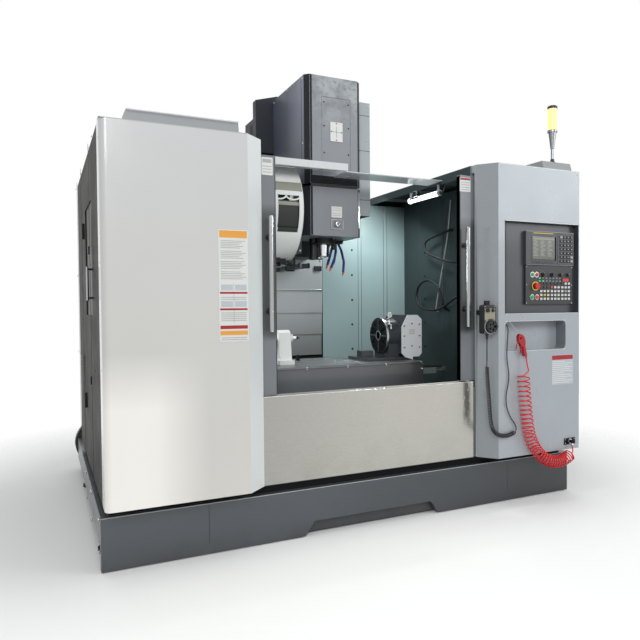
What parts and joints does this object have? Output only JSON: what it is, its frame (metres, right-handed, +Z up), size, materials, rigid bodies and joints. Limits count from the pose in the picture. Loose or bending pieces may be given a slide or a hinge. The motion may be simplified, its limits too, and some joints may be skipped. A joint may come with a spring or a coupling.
{
  "type": "machining center",
  "caption": "Vertical machining centre with sliding doors, a covered disc magazine with a swing arm, and a rotary unit and tailstock on its T-slot table.",
  "frame": {"origin": "on the floor under the middle of the machine", "axes": "+X to the operator's right, +Y to the back, +Z up"},
  "size_m": [3.119, 2.5446, 2.914],
  "materials": {
    "cast_grey": "painted casting",
    "cast_dark": "dark painted casting",
    "base_paint": "satin dark grey",
    "white_paint": "gloss warm white",
    "olive_paint": "satin dark olive grey",
    "cabinet_paint": "gloss light blue grey",
    "roof_paint": "gloss light grey",
    "inner_paint": "satin teal grey",
    "door_paint": "satin grey with a dark window",
    "head_paint": "satin grey",
    "stainless": "brushed",
    "cover_steel": "worn plate",
    "screw_steel": "ground",
    "ground_iron": "ground and oiled",
    "chrome": "polished",
    "foot_steel": "black oxide",
    "motor_black": "satin black",
    "tray_paint": "satin grey",
    "console_plastic": "fine texture",
    "display_plastic": "fine texture",
    "lamp_glass": "lit lens, black ends",
    "light_tube": "clear tube",
    "pendant_plastic": "beige face, dark body",
    "cord_rubber": "matte black",
    "gun_red": "gloss red",
    "hose_red": "glossy red tube",
    "knob_black": "black",
    "stop_red": "gloss red",
    "button_green": "gloss green",
    "button_red": "gloss red",
    "hose_blue": "blue links, orange tips",
    "tail_white": "gloss white",
    "rotary_paint": "satin grey"
  },
  "bodies": {
    "machine": {"bed": "cast_grey", "leveling_feet": "foot_steel", "base_skirts": "base_paint", "column": "cast_grey", "servo_motors": "motor_black", "coolant_tank": "base_paint", "chip_tray": "tray_paint", "front_panel": "stainless", "left_guard": "white_paint", "left_side_panel": "olive_paint", "right_side_panel": "olive_paint", "right_cabinet": "cabinet_paint", "inner_walls": "inner_paint", "roof_panels": "roof_paint", "roof_header": "roof_paint", "operator_panel": "console_plastic", "display_unit": "display_plastic", "signal_lamp": "lamp_glass", "work_light": "light_tube", "pendant_body": "pendant_plastic", "pendant_cord_ends": "cord_rubber", "pendant_cord_curl": "cord_rubber", "air_gun": "gun_red", "air_hose_end": "hose_red", "air_hose_curl": "hose_red", "electrical_cabinet": "roof_paint", "auger_motor": "motor_black", "magazine_cover": "roof_paint", "arm_drive": "cast_dark"},
    "saddle": {"saddle": "cast_grey"},
    "x_screw": {"x_screw": "screw_steel"},
    "y_screw": {"y_screw": "screw_steel"},
    "z_screw": {"z_screw": "screw_steel"},
    "table": {"table": "ground_iron", "table_guard": "door_paint", "rotary_unit": "rotary_paint", "tailstock": "tail_white"},
    "rotary_faceplate": {"rotary_faceplate": "foot_steel"},
    "head": {"head_casting": "cast_dark", "upper_head_cover": "head_paint", "lower_head_cover": "head_paint", "spindle_motor": "motor_black", "coolant_nozzles": "hose_blue", "z_cover_top": "cover_steel"},
    "spindle": {"spindle": "chrome"},
    "z_cover_low": {"z_cover_low": "cover_steel"},
    "z_cover_mid": {"z_cover_mid": "cover_steel"},
    "tool_disc": {"tool_disc": "motor_black"},
    "tool_arm": {"tool_arm": "ground_iron"},
    "left_door": {"left_door": "door_paint"},
    "right_door": {"right_door": "door_paint"},
    "side_door": {"side_door": "olive_paint"},
    "e_stop": {"e_stop": "stop_red"},
    "green_button": {"green_button": "button_green"},
    "red_button": {"red_button": "button_red"},
    "mode_knob": {"mode_knob": "knob_black"},
    "feed_knob": {"feed_knob": "knob_black"},
    "pendant_wheel": {"pendant_wheel": "knob_black"},
    "pendant_dial": {"pendant_dial": "knob_black"},
    "trigger": {"trigger": "gun_red"}
  },
  "joints": [
    {"name": "y_axis", "type": "slide", "parent": "machine", "child": "saddle", "axis": [0, 1, 0], "range_m": [-0.14, 0.46]},
    {"name": "x_axis", "type": "slide", "parent": "saddle", "child": "table", "axis": [1, 0, 0], "range_m": [-0.6, 0.45]},
    {"name": "z_axis", "type": "slide", "parent": "machine", "child": "head", "axis": [0, 0, -1], "range_m": [-0.02, 0.58]},
    {"name": "z_cover_low_slide", "type": "slide", "parent": "machine", "child": "z_cover_low", "axis": [0, 0, -1], "range_m": [-0.007, 0.194]},
    {"name": "z_cover_mid_slide", "type": "slide", "parent": "machine", "child": "z_cover_mid", "axis": [0, 0, -1], "range_m": [-0.014, 0.387]},
    {"name": "y_screw_spin", "type": "hinge", "parent": "machine", "child": "y_screw", "pos_m": [0.012, -0.191, 0.54], "axis": [0, 1, 0], "continuous": true},
    {"name": "x_screw_spin", "type": "hinge", "parent": "saddle", "child": "x_screw", "pos_m": [0.012, -0.436, 0.8587], "axis": [1, 0, 0], "continuous": true},
    {"name": "z_screw_spin", "type": "hinge", "parent": "machine", "child": "z_screw", "pos_m": [0.012, 0.39, 1.8], "axis": [0, 0, 1], "continuous": true},
    {"name": "spindle_spin", "type": "hinge", "parent": "head", "child": "spindle", "pos_m": [0.012, -0.301, 1.9], "axis": [0, 0, 1], "continuous": true},
    {"name": "magazine_spin", "type": "hinge", "parent": "machine", "child": "tool_disc", "pos_m": [-0.388, -0.351, 1.95], "axis": [1, 0, 0], "continuous": true},
    {"name": "tool_arm_swing", "type": "hinge", "parent": "machine", "child": "tool_arm", "pos_m": [-0.247, -0.326, 1.59], "axis": [0, 0, 1], "range_deg": [-270, 0]},
    {"name": "rotary_spin", "type": "hinge", "parent": "table", "child": "rotary_faceplate", "pos_m": [0.352, -0.491, 1.112], "axis": [1, 0, 0], "continuous": true},
    {"name": "left_door_slide", "type": "slide", "parent": "machine", "child": "left_door", "axis": [1, 0, 0], "range_m": [0, 0.622]},
    {"name": "right_door_slide", "type": "slide", "parent": "machine", "child": "right_door", "axis": [-1, 0, 0], "range_m": [0, 0.628]},
    {"name": "side_door_hinge", "type": "hinge", "parent": "machine", "child": "side_door", "pos_m": [-1.5425, 0.02915, 1.2], "axis": [0, 0, -1], "range_deg": [0, 110]},
    {"name": "e_stop_press", "type": "slide", "parent": "machine", "child": "e_stop", "axis": [0, 1, 0], "range_m": [0, 0.005]},
    {"name": "green_button_press", "type": "slide", "parent": "machine", "child": "green_button", "axis": [0, 1, 0], "range_m": [0, 0.003], "stiffness_N_per_m": 600},
    {"name": "red_button_press", "type": "slide", "parent": "machine", "child": "red_button", "axis": [0, 1, 0], "range_m": [0, 0.003], "stiffness_N_per_m": 600},
    {"name": "mode_knob_turn", "type": "hinge", "parent": "machine", "child": "mode_knob", "pos_m": [1.238, -1.187, 1.524], "axis": [0, 1, 0], "range_deg": [-90, 90]},
    {"name": "feed_knob_turn", "type": "hinge", "parent": "machine", "child": "feed_knob", "pos_m": [1.316, -1.187, 1.524], "axis": [0, 1, 0], "range_deg": [-135, 135]},
    {"name": "pendant_wheel_spin", "type": "hinge", "parent": "machine", "child": "pendant_wheel", "pos_m": [0.77, -1.231, 1.187], "axis": [0, 1, 0], "continuous": true},
    {"name": "pendant_dial_turn", "type": "hinge", "parent": "machine", "child": "pendant_dial", "pos_m": [0.742, -1.226, 1.29], "axis": [0, 1, 0], "range_deg": [-90, 90]},
    {"name": "trigger_pull", "type": "hinge", "parent": "machine", "child": "trigger", "pos_m": [1.006, -1.231, 1.056], "axis": [0, -1, 0], "range_deg": [0, 5], "stiffness_Nm_per_rad": 0.6}
  ],
  "couplings": [
    {"joint": "z_cover_low_slide", "follows": "z_axis", "ratio": 0.3333},
    {"joint": "z_cover_mid_slide", "follows": "z_axis", "ratio": 0.6667},
    {"joint": "y_screw_spin", "follows": "y_axis", "rad_per_m": 392.7},
    {"joint": "x_screw_spin", "follows": "x_axis", "rad_per_m": 392.7},
    {"joint": "z_screw_spin", "follows": "z_axis", "rad_per_m": 392.7}
  ]
}
